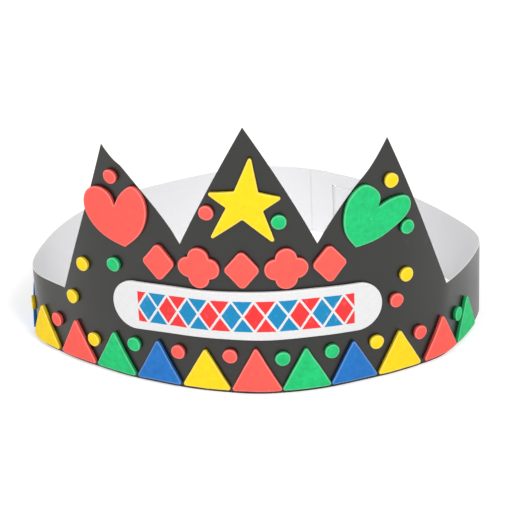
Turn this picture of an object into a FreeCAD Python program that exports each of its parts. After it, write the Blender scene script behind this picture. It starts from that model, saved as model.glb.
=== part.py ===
import FreeCAD, Part
import math
import os
from BOPTools import SplitAPI

# Paper crown: one strip of card, closed into a ring by a tab in a slit, with foam stickers.
# Millimetres. The ring stands on Z = 0, its front faces -Y and +X is to the right of the front.
# Everything is laid out flat first, as (reach, height): reach runs along the outer face of the
# card from the middle of the front, positive to the right, and height is above the lower edge.

# Ring, seen from above
ring_width = 202.2
ring_depth = 175.3
# Points of its outline from the middle of the front round to the right, as shares of the half
# width and of the half depth: nearly flat stretches between soft corners, as folded card takes.
ring_shape = [
    (-0.035, -0.994), (0.520, -0.863), (0.777, -0.679), (0.955, -0.334), (1.001, -0.119),
    (0.935, 0.117), (0.501, 0.770), (0.110, 0.996), (-0.356, 0.861), (-0.772, 0.525),
    (-0.978, -0.007), (-0.977, -0.299), (-0.903, -0.423), (-0.467, -0.814),
]

# Sheet and foam
card_thickness = 0.4
foam_thickness = 2.0
corner_radius = 1.0

# Card outline
band_height = 33.5
centre_tip_height = 120.65
side_tip_height = 108.0
side_tip_reach = 62.3
notch_height = 67.5
notch_reach = 29.15
band_notch_reach = 92.9
# How far each edge of the points stands out past its chord, from the right round to the left
right_outer_bulge = -0.3
right_inner_bulge = 1.2
centre_right_bulge = 0.9
centre_left_bulge = 0.45
left_inner_bulge = 1.65
left_outer_bulge = -0.35

# Closure at the back: the left arm's tab goes through a slit near the end of the right arm
slit_reach = 251.0
slit_to_end = 12.9
slit_width = 2.4
tab_height = 20.0
tab_length = 18.0
tab_corner = 3.0
tab_clearance = 0.5
layer_gap = 0.1
crossing_length = 2.4
tuck_length = 30.0

# Row of triangles along the lower edge
triangle_base = 22.1
triangle_height = 19.4
triangle_margin = 1.7
triangle_gap = 0.7
triangle_row_middle = 0.6
triangles_left_of_middle = 6
# Colour of each triangle, how far it was stuck to the right of its even place and how much
# taller than the others it was cut
triangles = [
    ("blue", -7.0, 0.0), ("yellow", -2.4, 0.0), ("coral", -1.0, 0.0), ("green", -0.5, 0.0),
    ("blue", 0.1, 0.6), ("yellow", 0.7, 0.0), ("coral", 1.05, 2.0), ("green", 0.7, 0.5),
    ("blue", 0.3, 0.0), ("yellow", 0.5, 0.0), ("coral", 2.1, -0.4), ("green", 2.7, 0.0),
]

# Dots: one over each valley between two triangles, with its own sideways slip and drop
dot_diameter = 6.35
dot_row_drop = 5.8
valley_dots = [
    ("yellow", -6.5, 2.4), ("coral", -3.2, 0.9), ("yellow", -1.6, 3.8), ("green", -0.9, 0.6),
    ("coral", -1.0, 0.3), ("coral", 0.9, -0.6), ("green", 1.5, 0.6), ("green", 1.2, 0.0),
    ("yellow", 0.2, 0.0), ("coral", 0.2, 1.0), ("green", 4.3, 1.9),
]
# Dots set by hand round a side tip, a lower corner of the banner or the middle of the row over
# it: colour, then that place, then how far to its right and how far above it
loose_dots = [
    ("coral", "left_tip", 3.5, -13.7), ("yellow", "banner_left", -15.75, 24.4),
    ("green", "banner_left", 1.15, 28.0), ("yellow", "banner_left", -23.95, 6.6),
    ("coral", "ornament_row", -13.7, 25.2), ("green", "ornament_row", 15.8, 21.2),
    ("yellow", "right_tip", 0.0, -18.0), ("green", "right_tip", 7.2, -40.4),
    ("yellow", "banner_right", 11.95, 20.9), ("coral", "banner_right", 6.95, 10.1),
]

# Banner: a long pill, arched a little
banner_length = 119.5
banner_height = 22.0
banner_arch = 1.2
banner_middle = -3.0
banner_over_triangles = 4.9

# Five coral shapes above the banner, lozenges and four-petalled flowers in turn
ornament_count = 5
ornament_pitch = 18.2
ornament_middle = -2.6
ornament_over_banner = 0.8
lozenge_width = 15.4
lozenge_height = 18.4
lozenge_radius = 2.2
petal_radius = 4.6
petal_offset = 4.5

# Star: its centre from the middle of the row over the banner, then its corners from the upper
# one round to the left
star_place = (2.3, 27.4)
star_radius = 0.8
star_corners = [
    (3.2, 24.2), (-4.1, 7.8), (-16.0, 6.9), (-7.5, 0.6), (-15.8, -15.0),
    (-1.1, -4.6), (12.2, -16.3), (7.4, -0.9), (15.7, 4.7), (5.7, 7.2),
]

# Hearts: centre from their own tip of the card, then from that centre the cusp, the left side
# down to the heart's tip and the right side back up
coral_heart_place = (4.1, -30.4)
coral_heart_cusp = (0.1, 3.6)
coral_heart_left = [
    (-1.9, 8.2), (-7.2, 10.9), (-13.0, 8.6), (-15.6, 2.8), (-13.8, -4.6), (-7.6, -10.8),
]
coral_heart_tip = (3.7, -14.9)
coral_heart_right = [
    (9.4, -10.2), (14.4, -2.6), (15.6, 4.4), (14.0, 10.6), (10.0, 14.0), (5.6, 11.6), (2.2, 7.6),
]
green_heart_place = (-6.7, -30.8)
green_heart_cusp = (0.1, 2.5)
green_heart_left = [
    (1.2, 6.8), (-1.4, 11.2), (-5.8, 13.4), (-11.2, 10.6), (-15.4, 1.6), (-14.7, -6.8),
]
green_heart_tip = (-10.5, -13.4)
green_heart_right = [
    (-0.8, -11.9), (8.2, -7.6), (13.6, -3.6), (15.5, 0.8), (14.0, 4.2), (9.0, 5.2), (4.0, 4.2),
]

# Spacing of the points that a curved face is drawn through
station_step = 4.0
fine_step = 0.2

# How far the drawing surfaces reach past the card, and a patch of one past its outline
drawing_margin = 10.0
patch_margin = 1.0
samples_per_curve = 12

# Places that follow from the sizes above
base_angle = math.atan2(triangle_height, triangle_base / 2)
corner_trim = corner_radius * (1 / math.tan(base_angle / 2) - 1)
triangle_pitch = triangle_base - 2 * corner_trim + triangle_gap
apex_trim = corner_radius * (1 / math.cos(base_angle) - 1)
triangle_top = triangle_margin + triangle_height - apex_trim
banner_bottom = triangle_top + banner_over_triangles
banner_top = banner_bottom + banner_height
ornament_height = banner_top + banner_arch + ornament_over_banner + lozenge_height / 2
tuck_depth = card_thickness + layer_gap
places = {
    "left_tip": (-side_tip_reach, side_tip_height),
    "right_tip": (side_tip_reach, side_tip_height),
    "banner_left": (banner_middle - banner_length / 2, banner_bottom),
    "banner_right": (banner_middle + banner_length / 2, banner_bottom),
    "ornament_row": (ornament_middle, ornament_height),
}


def ring_edge():
    """Closed outline of the card's outer face, starting at the middle of the front."""
    # The foam stands proud only at the left and at the front, so the ring is set half the
    # foam's thickness the other way, which centres the whole on the origin.
    shift = foam_thickness / 2
    points = []
    for across, deep in ring_shape:
        x = across * ring_width / 2 + shift
        y = deep * ring_depth / 2 + shift
        points.append(FreeCAD.Vector(x, y, 0))
    outline = Part.BSplineCurve()
    outline.interpolate(Points=points, PeriodicFlag=True)
    return outline.toShape()


ring = ring_edge()
ring_length = ring.Length
left_slit_reach = ring_length - slit_reach
right_end = slit_reach + slit_to_end
shoulder = left_slit_reach - crossing_length
left_end = left_slit_reach + tab_length


def ease(share):
    """Smooth rise from 0 to 1."""
    share = min(max(share, 0.0), 1.0)
    return share * share * (3 - 2 * share)


def tuck(reach):
    """How far inside the ring's outline the card lies at this reach, where its ends overlap."""
    if reach > 0:
        return tuck_depth * ease((reach - slit_reach + slit_width + tuck_length) / tuck_length)
    crossing_start = left_slit_reach - crossing_length / 2
    return 2 * tuck_depth * ease((-reach - crossing_start) / crossing_length)


def stations():
    """Reaches that the curved faces are drawn through, close together where the tab crosses."""
    fine_start = -left_slit_reach - 2 * crossing_length
    fine_end = -left_slit_reach + 2 * crossing_length
    stretches = [
        (-left_end - drawing_margin, fine_start, station_step),
        (fine_start, fine_end, fine_step),
        (fine_end, right_end + drawing_margin, station_step),
    ]
    reaches = []
    for start, end, step in stretches:
        count = math.ceil((end - start) / step)
        reaches += [start + (end - start) * i / count for i in range(count)]
    return reaches + [right_end + drawing_margin]


reaches = stations()


def card_path():
    """Plan curve of the card's outer face, open, with the reach as its parameter."""
    points = []
    for reach in reaches:
        parameter = ring.getParameterByLength(reach % ring_length)
        tangent = ring.tangentAt(parameter)
        outward = FreeCAD.Vector(tangent.y, -tangent.x, 0)
        points.append(ring.valueAt(parameter) - outward * tuck(reach))
    path = Part.BSplineCurve()
    path.interpolate(Points=points, Parameters=reaches)
    return path


path = card_path()


def wall(offset):
    """Upright surface at this distance outside the card's outer face.

    Its parameters are the reach and the height, so a flat outline maps straight onto it.
    """
    points = []
    for reach in reaches:
        tangent = path.tangent(reach)[0]
        outward = FreeCAD.Vector(tangent.y, -tangent.x, 0)
        points.append(path.value(reach) + outward * offset)
    curve = Part.BSplineCurve()
    curve.interpolate(Points=points, Parameters=reaches)
    low = -drawing_margin
    high = centre_tip_height + drawing_margin
    poles = []
    for pole in curve.getPoles():
        poles.append([pole + FreeCAD.Vector(0, 0, low), pole + FreeCAD.Vector(0, 0, high)])
    surface = Part.BSplineSurface()
    surface.buildFromPolesMultsKnots(
        poles, curve.getMultiplicities(), [2, 2], curve.getKnots(), [low, high],
        False, False, curve.Degree, 1,
    )
    return surface


card_inside = wall(-card_thickness)
card_outside = wall(0)
foam_outside = wall(foam_thickness)


def flat(reach, height):
    return FreeCAD.Base.Vector2d(reach, height)


def beside(place, right, up):
    """Flat point this far to the right of a named place and above it."""
    reach, height = places[place]
    return flat(reach + right, height + up)


def unit(vector):
    return vector * (1 / vector.length())


def line(start, end):
    return Part.Geom2d.Line2dSegment(start, end)


def arc(start, middle, end):
    return Part.Geom2d.ArcOfCircle2d(start, middle, end)


def bulged(start, end, bulge):
    """Arc between two points that stands out by the bulge, to the right of its direction.

    A negative bulge makes it dip in.
    """
    chord = end - start
    middle = flat((start.x + end.x) / 2, (start.y + end.y) / 2)
    out = unit(flat(chord.y, -chord.x))
    return arc(start, middle + out * bulge, end)


def rounded(corners, radius):
    """Polygon with each corner rounded, whether it points out or in."""
    arcs = []
    for i, corner in enumerate(corners):
        before = unit(corners[i - 1] - corner)
        after = unit(corners[(i + 1) % len(corners)] - corner)
        half = math.acos(before * after) / 2
        run = radius / math.tan(half)
        nearest = corner + unit(before + after) * (radius / math.sin(half) - radius)
        arcs.append((corner + before * run, nearest, corner + after * run))
    curves = []
    for i, (start, nearest, end) in enumerate(arcs):
        curves.append(arc(start, nearest, end))
        curves.append(line(end, arcs[(i + 1) % len(arcs)][0]))
    return curves


def smooth(points):
    curve = Part.Geom2d.BSplineCurve2d()
    curve.interpolate(points)
    return curve


def patch(surface, curves):
    """The stretch of the surface that these curves need, with a margin round them."""
    points = []
    for curve in curves:
        run = curve.LastParameter - curve.FirstParameter
        for i in range(samples_per_curve):
            points.append(curve.value(curve.FirstParameter + run * i / samples_per_curve))
    stretch = surface.copy()
    stretch.segment(
        min(point.x for point in points) - patch_margin,
        max(point.x for point in points) + patch_margin,
        min(point.y for point in points) - patch_margin,
        max(point.y for point in points) + patch_margin,
    )
    return stretch


def wrapped_face(surface, outlines):
    """The part of the surface inside the first outline and outside the others."""
    stretch = patch(surface, outlines[0])
    wires = []
    for curves in outlines:
        wires.append(Part.Wire([curve.toShape(stretch) for curve in curves]))
    pieces = SplitAPI.slice(stretch.toShape(), wires, "Split").Faces
    lowest = wires[0].BoundBox.ZMin - patch_margin / 2
    inside = [piece for piece in pieces if piece.OuterWire.BoundBox.ZMin > lowest]
    return max(inside, key=lambda piece: piece.Area), wires


def cut_face(inner_edge, outer_edge):
    """Cut edge of the sheet, between its two walls: a true plane where it runs level."""
    face = Part.makeRuledSurface(inner_edge, outer_edge)
    return Part.makeFace(face.OuterWire, "Part::FaceMakerBullseye") if face.findPlane() else face


def plate(inner_surface, outer_surface, outlines):
    """Solid between two walls, with its cut edges square to them."""
    inner, inner_wires = wrapped_face(inner_surface, outlines)
    outer, outer_wires = wrapped_face(outer_surface, outlines)
    faces = [inner, outer]
    for inner_wire, outer_wire in zip(inner_wires, outer_wires):
        for inner_edge, outer_edge in zip(inner_wire.Edges, outer_wire.Edges):
            faces.append(cut_face(inner_edge, outer_edge))
    shell = Part.makeShell(faces)
    shell.sewShape()
    solid = Part.makeSolid(shell)
    if solid.Volume < 0:
        solid.reverse()
    return solid


def sticker(curves):
    return plate(card_outside, foam_outside, [curves])


def card_strip():
    """The whole strip: band, three points, slit and tab, in one piece."""
    tip = flat(0, centre_tip_height)
    half = [
        (band_notch_reach, band_height),
        (side_tip_reach, side_tip_height),
        (notch_reach, notch_height),
    ]
    right = [flat(reach, height) for reach, height in half]
    left = [flat(-reach, height) for reach, height in half]
    tab_low = (band_height - tab_height) / 2
    tab_high = tab_low + tab_height
    cut = tab_corner * (1 - math.sqrt(0.5))
    curves = [
        line(flat(-shoulder, 0), flat(right_end, 0)),
        line(flat(right_end, 0), flat(right_end, band_height)),
        line(flat(right_end, band_height), right[0]),
        bulged(right[0], right[1], right_outer_bulge),
        bulged(right[1], right[2], right_inner_bulge),
        bulged(right[2], tip, centre_right_bulge),
        bulged(tip, left[2], centre_left_bulge),
        bulged(left[2], left[1], left_inner_bulge),
        bulged(left[1], left[0], left_outer_bulge),
        line(left[0], flat(-shoulder, band_height)),
        line(flat(-shoulder, band_height), flat(-shoulder, tab_high)),
        line(flat(-shoulder, tab_high), flat(-left_end + tab_corner, tab_high)),
        arc(
            flat(-left_end + tab_corner, tab_high),
            flat(-left_end + cut, tab_high - cut),
            flat(-left_end, tab_high - tab_corner),
        ),
        line(flat(-left_end, tab_high - tab_corner), flat(-left_end, tab_low + tab_corner)),
        arc(
            flat(-left_end, tab_low + tab_corner),
            flat(-left_end + cut, tab_low + cut),
            flat(-left_end + tab_corner, tab_low),
        ),
        line(flat(-left_end + tab_corner, tab_low), flat(-shoulder, tab_low)),
        line(flat(-shoulder, tab_low), flat(-shoulder, 0)),
    ]
    slit_left = slit_reach - slit_width / 2
    slit_right = slit_reach + slit_width / 2
    slit_low = tab_low - tab_clearance
    slit_high = tab_high + tab_clearance
    slit_corners = [
        flat(slit_left, slit_low), flat(slit_right, slit_low),
        flat(slit_right, slit_high), flat(slit_left, slit_high),
    ]
    slit = [line(slit_corners[i - 1], slit_corners[i]) for i in range(4)]
    return plate(card_inside, card_outside, [curves, slit])


def triangle(number, slip, extra):
    middle = triangle_row_middle + (number - triangles_left_of_middle) * triangle_pitch + slip
    corners = [
        flat(middle - triangle_base / 2, triangle_margin),
        flat(middle + triangle_base / 2, triangle_margin),
        flat(middle, triangle_margin + triangle_height + extra),
    ]
    return sticker(rounded(corners, corner_radius))


def dot(centre):
    return sticker([Part.Geom2d.Circle2d(centre, dot_diameter / 2)])


def valley_dot(number):
    colour, slip, drop = valley_dots[number]
    valley = triangle_row_middle + (number + 0.5 - triangles_left_of_middle) * triangle_pitch
    return dot(flat(valley + slip, triangle_top - dot_row_drop + dot_diameter / 2 - drop))


def banner():
    """Pill with both long edges arched by the same rise."""
    radius = banner_height / 2
    middle = banner_bottom + radius
    left = banner_middle - banner_length / 2
    right = banner_middle + banner_length / 2
    low = [flat(left + radius, banner_bottom), flat(right - radius, banner_bottom)]
    high = [flat(left + radius, banner_top), flat(right - radius, banner_top)]
    curves = [
        arc(low[0], flat(banner_middle, banner_bottom + banner_arch), low[1]),
        arc(low[1], flat(right, middle), high[1]),
        arc(high[1], flat(banner_middle, banner_top + banner_arch), high[0]),
        arc(high[0], flat(left, middle), low[0]),
    ]
    return sticker(curves)


def lozenge(reach):
    corners = [
        flat(reach - lozenge_width / 2, ornament_height),
        flat(reach, ornament_height - lozenge_height / 2),
        flat(reach + lozenge_width / 2, ornament_height),
        flat(reach, ornament_height + lozenge_height / 2),
    ]
    return sticker(rounded(corners, lozenge_radius))


def flower(reach):
    """Four round petals that meet at the diagonals."""
    centre = flat(reach, ornament_height)
    half = petal_offset * math.sqrt(0.5)
    meeting = half + math.sqrt(petal_radius ** 2 - half ** 2)
    curves = []
    for quarter in range(4):
        angle = quarter * math.pi / 2
        start = angle - math.pi / 4
        end = angle + math.pi / 4
        out = petal_offset + petal_radius
        curves.append(arc(
            centre + flat(math.cos(start), math.sin(start)) * meeting,
            centre + flat(math.cos(angle), math.sin(angle)) * out,
            centre + flat(math.cos(end), math.sin(end)) * meeting,
        ))
    return sticker(curves)


def ornament(number):
    reach = ornament_middle + (number - (ornament_count - 1) / 2) * ornament_pitch
    return flower(reach) if number % 2 else lozenge(reach)


def star():
    centre = beside("ornament_row", *star_place)
    corners = [centre + flat(right, up) for right, up in star_corners]
    return sticker(rounded(corners, star_radius))


def heart(centre, cusp, left, tip, right):
    """Two smooth halves that meet in a point at the tip and at the cusp."""
    left_half = smooth([centre + flat(*point) for point in [cusp] + left + [tip]])
    right_half = smooth([centre + flat(*point) for point in [tip] + right + [cusp]])
    return sticker([left_half, right_half])


def build():
    """Every piece of the crown, by name."""
    pieces = {"card_strip": card_strip(), "banner": banner(), "star": star()}
    pieces["heart_coral"] = heart(
        beside("left_tip", *coral_heart_place),
        coral_heart_cusp, coral_heart_left, coral_heart_tip, coral_heart_right,
    )
    pieces["heart_green"] = heart(
        beside("right_tip", *green_heart_place),
        green_heart_cusp, green_heart_left, green_heart_tip, green_heart_right,
    )
    for number, (colour, slip, extra) in enumerate(triangles):
        pieces[f"triangle_{number + 1:02d}_{colour}"] = triangle(number, slip, extra)
    for number, (colour, slip, drop) in enumerate(valley_dots):
        pieces[f"row_dot_{number + 1:02d}_{colour}"] = valley_dot(number)
    for number, (colour, place, right, up) in enumerate(loose_dots):
        pieces[f"point_dot_{number + 1:02d}_{colour}"] = dot(beside(place, right, up))
    for number in range(ornament_count):
        kind = "flower" if number % 2 else "lozenge"
        pieces[f"{kind}_{number + 1}"] = ornament(number)
    return pieces


os.makedirs("parts", exist_ok=True)
for name, shape in build().items():
    shape.exportStep(f"parts/{name}.step")
print(f"ring {ring_length:.1f} round, strip {left_end + right_end:.1f} long")
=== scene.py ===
"""Paper crown: a strip of black card closed into a ring, dressed with foam stickers.

Every piece is drawn flat first, as (reach, height) in millimetres: reach runs along the card's
outer face from the middle of the front, positive to the right, and height is above the lower
edge. The function on_wall then bends the drawing round the ring.
"""

import math

import bpy
import numpy as np
from mathutils import Matrix, Vector


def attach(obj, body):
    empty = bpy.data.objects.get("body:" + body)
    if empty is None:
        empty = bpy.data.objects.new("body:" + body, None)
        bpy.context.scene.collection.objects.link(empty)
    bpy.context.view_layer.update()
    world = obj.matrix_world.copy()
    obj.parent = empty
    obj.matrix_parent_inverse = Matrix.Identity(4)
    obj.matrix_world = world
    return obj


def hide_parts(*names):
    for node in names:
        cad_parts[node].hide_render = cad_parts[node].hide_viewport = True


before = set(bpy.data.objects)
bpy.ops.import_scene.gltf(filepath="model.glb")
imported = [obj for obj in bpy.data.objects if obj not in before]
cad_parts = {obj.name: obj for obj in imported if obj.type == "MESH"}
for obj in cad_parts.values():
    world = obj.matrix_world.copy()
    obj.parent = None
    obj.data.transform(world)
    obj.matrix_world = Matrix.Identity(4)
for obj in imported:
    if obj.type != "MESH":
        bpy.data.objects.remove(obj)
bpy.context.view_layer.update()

bl_info = {
    "name": "Paper crown",
    "version": (1, 0, 0),
    "blender": (4, 5, 0),
    "location": "View3D > Sidebar > Crown",
    "description": "Builds a card crown with foam stickers",
    "category": "Add Mesh",
}

MM = 0.001
TAU = 2 * math.pi

# Ring, seen from above: its outline's points as shares of the half width and half depth
RING_WIDTH = 202.2
RING_DEPTH = 175.3
RING_SHIFT = 1.0
RING_SHAPE = np.array([
    (-0.035, -0.994), (0.520, -0.863), (0.777, -0.679), (0.955, -0.334), (1.001, -0.119),
    (0.935, 0.117), (0.501, 0.770), (0.110, 0.996), (-0.356, 0.861), (-0.772, 0.525),
    (-0.978, -0.007), (-0.977, -0.299), (-0.903, -0.423), (-0.467, -0.814),
])
TABLE_STEP = 0.05
TABLE_MARGIN = 5
POINT_STEPS = 2000

# Card outline
BAND_HEIGHT = 33.5
CENTRE_TIP_HEIGHT = 120.65
SIDE_TIP_REACH = 62.3
SIDE_TIP_HEIGHT = 108.0
NOTCH_REACH = 29.15
NOTCH_HEIGHT = 67.5
BAND_NOTCH_REACH = 92.9
# How far the middle, inner and outer edge of the points stand out past their chords
LEFT_BULGES = (0.45, 1.65, -0.35)
RIGHT_BULGES = (0.9, 1.2, -0.3)
# The right point's inner edge also stands out near the notch and dips near the tip
RIGHT_SNAKE = (0.5, 1.6)
SNAKE_TURN_START, SNAKE_TURN_RUN = 0.3, 0.45
# The left point's inner edge dips by this much over the last share of its way to the tip
LEFT_DIP = 1.2
LEFT_DIP_SHARE = 0.25

# How the card leaves its upright wall, in mm: the left point's lean, with the stretches over
# which it comes in and goes out again, the right tip's curl and the crease under the right notch
LEAN = 2.9
LEAN_POWER = 1.7
LEAN_START, LEAN_RUN = 34, 74
LEAN_IN, LEAN_OUT_REACH, LEAN_OUT = 22, 112, 24
CURL = -1.6
CURL_START, CURL_RUN = 86, 22
CREASE = 0.25
CREASE_REACH, CREASE_WIDTH, CREASE_SLANT = 92.5, 5.0, 0.13
CREASE_TOP, CREASE_FADE = 60, 30
# Waves of the front: size, run along the card, run up it and phase
WAVES = ((0.22, 11.0, 19.0, 0.0), (0.12, 4.7, -27.0, 1.3))
WAVE_END, WAVE_FADE = 125, 30

# Closure at the back
SLIT_REACH = 251.0
SLIT_TO_END = 12.9
SLIT_WIDTH = 2.4
TAB_HEIGHT = 20.0
TAB_LENGTH = 18.0
TAB_CORNER = 3.0
TAB_CLEARANCE = 0.5
CROSSING_LENGTH = 2.4
TUCK_LENGTH = 30.0
TUCK_DEPTH = 0.5

# Grid of the card's mesh: spacing of its columns and the number of rows in the strips under the
# tab, at its lower clearance, across it, at its upper clearance and over it, and a tolerance
COLUMN_STEP = 1.5
CLOSEST_COLUMNS = 0.5
ROW_COUNTS = (9, 1, 26, 1, 9)
HAIRBREADTH = 1e-3

# Foam mesh: spacing along an outline, steps of its arcs and curves, spacing across a face, steps
# of the soft rim, then how far the three rings of the cut's back stand in and out, and the flat
# ring inside the rim
OUTLINE_STEP = 0.3
BANNER_STEP = 0.45
CORNER_STEPS = 16
CURVE_STEPS = 60
DOT_STEPS = 90
BANNER_EDGE_STEPS = 200
RING_STEP = 2.2
RIM_STEPS = 7
BACK_INSET = (0.4, 0.16, 0.0)
BACK_OUT = (-0.02, 0.25, 0.6)
RIM_INSIDE = 0.3
WANDER_WAVES = (3, 5, 9)

# Row of triangles, with each one's sideways slip and extra height, and the dots over its
# valleys, with each one's sideways slip and drop
TRIANGLE_RADIUS = 1.0
TRIANGLE_BASE = 22.1
TRIANGLE_HEIGHT = 19.4
TRIANGLE_MARGIN = 1.7
TRIANGLE_PITCH = 21.37
TRIANGLE_ROW_MIDDLE = 0.6
TRIANGLE_TOP = 20.08
TRIANGLES = (
    ("blue", -7.0, 0.0), ("yellow", -2.4, 0.0), ("coral", -1.0, 0.0), ("green", -0.5, 0.0),
    ("blue", 0.1, 0.6), ("yellow", 0.7, 0.0), ("coral", 1.05, 2.0), ("green", 0.7, 0.5),
    ("blue", 0.3, 0.0), ("yellow", 0.5, 0.0), ("coral", 2.1, -0.4), ("green", 2.7, 0.0),
)
DOT_DIAMETER = 6.35
DOT_ROW_DROP = 5.8
VALLEY_DOTS = (
    ("yellow", -6.5, 2.4), ("coral", -3.2, 0.9), ("yellow", -1.6, 3.8), ("green", -0.9, 0.6),
    ("coral", -1.0, 0.3), ("coral", 0.9, -0.6), ("green", 1.5, 0.6), ("green", 1.2, 0.0),
    ("yellow", 0.2, 0.0), ("coral", 0.2, 1.0), ("green", 4.3, 1.9),
)
# Dots round the points and the banner: colour, reach and height
LOOSE_DOTS = (
    ("coral", -58.8, 94.3), ("yellow", -78.5, 49.38), ("green", -61.6, 52.98),
    ("yellow", -86.7, 31.58), ("coral", -16.3, 83.38), ("green", 13.2, 79.38),
    ("yellow", 62.3, 90.0), ("green", 69.5, 67.6), ("yellow", 68.7, 45.88),
    ("coral", 63.7, 35.08),
)

# Banner and the row of shapes over it
BANNER_LENGTH = 119.5
BANNER_HEIGHT = 22.0
BANNER_ARCH = 1.2
BANNER_MIDDLE = -3.0
BANNER_BOTTOM = 24.98
PRINT_CELLS = 10
ORNAMENTS = 5
ORNAMENT_PITCH = 18.2
ORNAMENT_MIDDLE = -2.6
ORNAMENT_HEIGHT = 58.18
LOZENGE_WIDTH = 15.4
LOZENGE_HEIGHT = 18.4
LOZENGE_RADIUS = 2.2
PETAL_RADIUS = 4.6
PETAL_OFFSET = 4.5

# Star and hearts: centre, then points round them from that centre
STAR_CENTRE = (-0.3, 85.58)
STAR_RADIUS = 0.8
STAR_CORNERS = (
    (3.2, 24.2), (-4.1, 7.8), (-16.0, 6.9), (-7.5, 0.6), (-15.8, -15.0),
    (-1.1, -4.6), (12.2, -16.3), (7.4, -0.9), (15.7, 4.7), (5.7, 7.2),
)
CORAL_HEART = {
    "centre": (-58.2, 77.6),
    "left": (
        (0.1, 3.6), (-1.9, 8.2), (-7.2, 10.9), (-13.0, 8.6), (-15.6, 2.8), (-13.8, -4.6),
        (-7.6, -10.8), (3.7, -14.9),
    ),
    "right": (
        (3.7, -14.9), (9.4, -10.2), (14.4, -2.6), (15.6, 4.4), (14.0, 10.6), (10.0, 14.0),
        (5.6, 11.6), (2.2, 7.6), (0.1, 3.6),
    ),
}
GREEN_HEART = {
    "centre": (55.6, 77.2),
    "left": (
        (0.1, 2.5), (1.2, 6.8), (-1.4, 11.2), (-5.8, 13.4), (-11.2, 10.6), (-15.4, 1.6),
        (-14.7, -6.8), (-10.5, -13.4),
    ),
    "right": (
        (-10.5, -13.4), (-0.8, -11.9), (8.2, -7.6), (13.6, -3.6), (15.5, 0.8), (14.0, 4.2),
        (9.0, 5.2), (4.0, 4.2), (0.1, 2.5),
    ),
}

# Camera, as fitted to the lower edge, the tips and the far rim
CAMERA_PLACE = (0.478, -836.1, 404.3)
CAMERA_PITCH = 0.42538
CAMERA_ROLL = 0.04338
CAMERA_LENS = 141.2
CAMERA_SENSOR = 36

# Stage, in metres and watts: name, place, size and power of each light, and the point they face
LIGHTS = (("key light", (0.8, -1.4, 1.5), 0.6, 23), ("fill light", (-1.3, -0.9, 1.0), 1.0, 10))
LIGHTS_AIM = (0, 0, 0.05)
WORLD_STRENGTH = 0.56
FLOOR_HALF = 4
# The floor's own light for the camera, near and far, and for reflections
FLOOR_NEAR, FLOOR_FAR = 0.3, 1.2
FLOOR_GLOW_NEAR, FLOOR_GLOW_FAR = 0.4, 1.0
FLOOR_GLOW_REFLECTED = 0.5


# The ring's course

def ring_course():
    """Closed smooth outline of the ring, at even steps of its own length.

    Between two points runs a cubic whose end slopes come from one linear system, which makes the
    bend run on evenly through every point. The distance between points is the parameter.
    """
    points = RING_SHAPE * (RING_WIDTH / 2, RING_DEPTH / 2) + RING_SHIFT
    ahead = np.roll(points, -1, 0)
    span = np.linalg.norm(ahead - points, axis=1)
    before = np.roll(span, 1)
    count = len(points)
    system = np.zeros((count, count))
    rows = np.arange(count)
    system[rows, rows] = 2 / before + 2 / span
    system[rows, (rows - 1) % count] = 1 / before
    system[rows, (rows + 1) % count] = 1 / span
    pull = (ahead - points) / span[:, None] ** 2
    pull = 3 * (pull + np.roll((ahead - points) / span[:, None] ** 2, 1, 0))
    slopes = np.linalg.solve(system, pull)
    t = np.linspace(0, 1, POINT_STEPS, endpoint=False)[None, :, None]
    start, end = points[:, None], ahead[:, None]
    out_slope = (slopes * span[:, None])[:, None]
    in_slope = (np.roll(slopes, -1, 0) * span[:, None])[:, None]
    course = (
        start * (2 * t**3 - 3 * t**2 + 1) + end * (3 * t**2 - 2 * t**3)
        + out_slope * (t**3 - 2 * t**2 + t) + in_slope * (t**3 - t**2)
    ).reshape(-1, 2)
    course = np.vstack([course, course[:1]])
    length = np.append(0, np.cumsum(np.linalg.norm(np.diff(course, axis=0), axis=1)))
    return length, course


RING_TABLE = ring_course()
RING_LENGTH = RING_TABLE[0][-1]
LEFT_SLIT_REACH = RING_LENGTH - SLIT_REACH
RIGHT_END = SLIT_REACH + SLIT_TO_END
SHOULDER = LEFT_SLIT_REACH - CROSSING_LENGTH
LEFT_END = LEFT_SLIT_REACH + TAB_LENGTH


def ease(share):
    """Smooth rise from 0 to 1."""
    share = np.clip(share, 0, 1)
    return share * share * (3 - 2 * share)


def tuck(reach):
    """How far inside the ring's outline the card lies, where its two ends overlap."""
    right = TUCK_DEPTH * ease((reach - SLIT_REACH + SLIT_WIDTH + TUCK_LENGTH) / TUCK_LENGTH)
    crossing_start = LEFT_SLIT_REACH - CROSSING_LENGTH / 2
    left = 2 * TUCK_DEPTH * ease((-reach - crossing_start) / CROSSING_LENGTH)
    return np.where(reach > 0, right, left)


def card_course():
    """Plan of the card's outer face and its outward direction, at even steps of reach."""
    reach = np.arange(-LEFT_END - TABLE_MARGIN, RIGHT_END + TABLE_MARGIN, TABLE_STEP)
    along = reach % RING_LENGTH
    ring = np.stack([np.interp(along, RING_TABLE[0], RING_TABLE[1][:, i]) for i in (0, 1)], -1)
    tangent = np.gradient(ring, axis=0)
    outward = np.stack([tangent[:, 1], -tangent[:, 0]], -1)
    outward /= np.linalg.norm(outward, axis=1)[:, None]
    place = ring - outward * tuck(reach)[:, None]
    tangent = np.gradient(place, axis=0)
    outward = np.stack([tangent[:, 1], -tangent[:, 0]], -1)
    outward /= np.linalg.norm(outward, axis=1)[:, None]
    return reach, place, outward


CARD_TABLE = card_course()


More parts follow.
